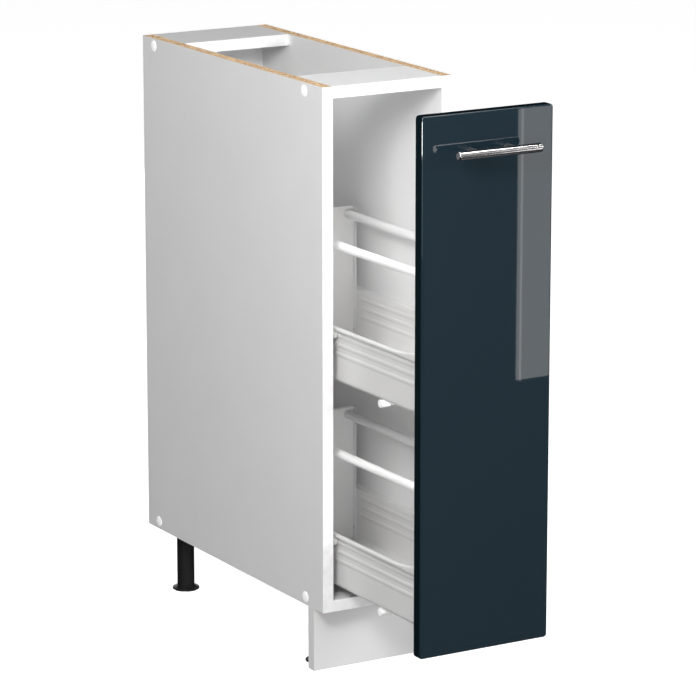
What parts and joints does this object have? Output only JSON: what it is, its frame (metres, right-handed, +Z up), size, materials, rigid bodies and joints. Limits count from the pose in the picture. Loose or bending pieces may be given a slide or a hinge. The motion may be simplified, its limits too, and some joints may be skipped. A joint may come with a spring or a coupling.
{
  "type": "pull-out larder unit",
  "caption": "Narrow kitchen base cabinet whose glossy front pulls out with tiered ribbed metal baskets on roller runners, on adjustable legs behind a plinth.",
  "frame": {"origin": "on the floor, in the middle of the footprint of the whole unit, which stands with its front 232 mm out as in the picture", "axes": "+X to the right seen from the front, +Y from the front to the rear, +Z up"},
  "size_m": [0.2036, 0.792, 0.81],
  "materials": {
    "white_laminate": "white melamine laminate on chipboard, bare at the top edges",
    "thin_board": "light grey lacquered hardboard",
    "white_edging": "satin white edging",
    "dark_gloss_front": "high-gloss very dark blue lacquer",
    "polished_steel": "polished",
    "zinc_steel": "zinc plated",
    "white_steel": "satin white powder coat",
    "white_nylon": "smooth nylon",
    "white_plastic": "satin moulded plastic",
    "black_plastic": "fine moulded texture",
    "clear_rubber": "soft clear"
  },
  "bodies": {
    "carcass": {"left_side_panel": "white_laminate", "right_side_panel": "white_laminate", "bottom_panel": "white_laminate", "front_top_rail": "white_laminate", "rear_top_rail": "white_laminate", "plinth_panel": "white_laminate", "back_panel": "thin_board", "front_edging": "white_edging", "carcass_screws": "zinc_steel", "cover_caps": "white_plastic", "plinth_clips": "black_plastic", "front_left_leg": "black_plastic", "front_right_leg": "black_plastic", "rear_left_leg": "black_plastic", "rear_right_leg": "black_plastic", "upper_left_runner": "white_steel", "upper_right_runner": "white_steel", "lower_left_runner": "white_steel", "lower_right_runner": "white_steel", "runner_screws": "zinc_steel", "front_roller_pins": "zinc_steel"},
    "pull_out": {"front_panel": "dark_gloss_front", "front_buffers": "clear_rubber", "handle_bar": "polished_steel", "handle_posts": "polished_steel", "handle_screws": "zinc_steel", "bracket_screws": "zinc_steel", "tray_rivets": "zinc_steel", "rail_screws": "zinc_steel", "tray_catches": "white_plastic", "rear_roller_pins": "zinc_steel", "upper_tray": "white_steel", "upper_rear_end": "white_steel", "upper_front_bracket": "white_steel", "lower_tray": "white_steel", "lower_rear_end": "white_steel", "lower_front_bracket": "white_steel", "upper_left_rail": "white_steel", "upper_right_rail": "white_steel", "lower_left_rail": "white_steel", "lower_right_rail": "white_steel"},
    "upper_left_front_roller": {"upper_left_front_roller": "white_nylon"},
    "upper_left_rear_roller": {"upper_left_rear_roller": "white_nylon"},
    "upper_right_front_roller": {"upper_right_front_roller": "white_nylon"},
    "upper_right_rear_roller": {"upper_right_rear_roller": "white_nylon"},
    "lower_left_front_roller": {"lower_left_front_roller": "white_nylon"},
    "lower_left_rear_roller": {"lower_left_rear_roller": "white_nylon"},
    "lower_right_front_roller": {"lower_right_front_roller": "white_nylon"},
    "lower_right_rear_roller": {"lower_right_rear_roller": "white_nylon"},
    "front_left_foot": {"front_left_foot": "black_plastic"},
    "front_right_foot": {"front_right_foot": "black_plastic"},
    "rear_left_foot": {"rear_left_foot": "black_plastic"},
    "rear_right_foot": {"rear_right_foot": "black_plastic"}
  },
  "joints": [
    {"name": "pull_out_slide", "type": "slide", "parent": "carcass", "child": "pull_out", "axis": [0, -1, 0], "range_m": [-0.23, 0.113]},
    {"name": "upper_left_front_roller_spin", "type": "hinge", "parent": "carcass", "child": "upper_left_front_roller", "pos_m": [-0.0745, -0.099, 0.4723], "axis": [1, 0, 0], "continuous": true},
    {"name": "upper_left_rear_roller_spin", "type": "hinge", "parent": "pull_out", "child": "upper_left_rear_roller", "pos_m": [-0.0745, 0.078, 0.4723], "axis": [1, 0, 0], "continuous": true},
    {"name": "upper_right_front_roller_spin", "type": "hinge", "parent": "carcass", "child": "upper_right_front_roller", "pos_m": [0.0745, -0.099, 0.4723], "axis": [1, 0, 0], "continuous": true},
    {"name": "upper_right_rear_roller_spin", "type": "hinge", "parent": "pull_out", "child": "upper_right_rear_roller", "pos_m": [0.0745, 0.078, 0.4723], "axis": [1, 0, 0], "continuous": true},
    {"name": "lower_left_front_roller_spin", "type": "hinge", "parent": "carcass", "child": "lower_left_front_roller", "pos_m": [-0.0745, -0.099, 0.1853], "axis": [1, 0, 0], "continuous": true},
    {"name": "lower_left_rear_roller_spin", "type": "hinge", "parent": "pull_out", "child": "lower_left_rear_roller", "pos_m": [-0.0745, 0.078, 0.1853], "axis": [1, 0, 0], "continuous": true},
    {"name": "lower_right_front_roller_spin", "type": "hinge", "parent": "carcass", "child": "lower_right_front_roller", "pos_m": [0.0745, -0.099, 0.1853], "axis": [1, 0, 0], "continuous": true},
    {"name": "lower_right_rear_roller_spin", "type": "hinge", "parent": "pull_out", "child": "lower_right_rear_roller", "pos_m": [0.0745, 0.078, 0.1853], "axis": [1, 0, 0], "continuous": true},
    {"name": "front_left_foot_height", "type": "slide", "parent": "carcass", "child": "front_left_foot", "axis": [0, 0, -1], "range_m": [0, 0.02]},
    {"name": "front_right_foot_height", "type": "slide", "parent": "carcass", "child": "front_right_foot", "axis": [0, 0, -1], "range_m": [0, 0.02]},
    {"name": "rear_left_foot_height", "type": "slide", "parent": "carcass", "child": "rear_left_foot", "axis": [0, 0, -1], "range_m": [0, 0.02]},
    {"name": "rear_right_foot_height", "type": "slide", "parent": "carcass", "child": "rear_right_foot", "axis": [0, 0, -1], "range_m": [0, 0.02]}
  ],
  "couplings": [
    {"joint": "upper_left_front_roller_spin", "follows": "pull_out_slide", "rad_per_m": 153.85},
    {"joint": "upper_left_rear_roller_spin", "follows": "pull_out_slide", "rad_per_m": 153.85},
    {"joint": "upper_right_front_roller_spin", "follows": "pull_out_slide", "rad_per_m": 153.85},
    {"joint": "upper_right_rear_roller_spin", "follows": "pull_out_slide", "rad_per_m": 153.85},
    {"joint": "lower_left_front_roller_spin", "follows": "pull_out_slide", "rad_per_m": 153.85},
    {"joint": "lower_left_rear_roller_spin", "follows": "pull_out_slide", "rad_per_m": 153.85},
    {"joint": "lower_right_front_roller_spin", "follows": "pull_out_slide", "rad_per_m": 153.85},
    {"joint": "lower_right_rear_roller_spin", "follows": "pull_out_slide", "rad_per_m": 153.85}
  ]
}
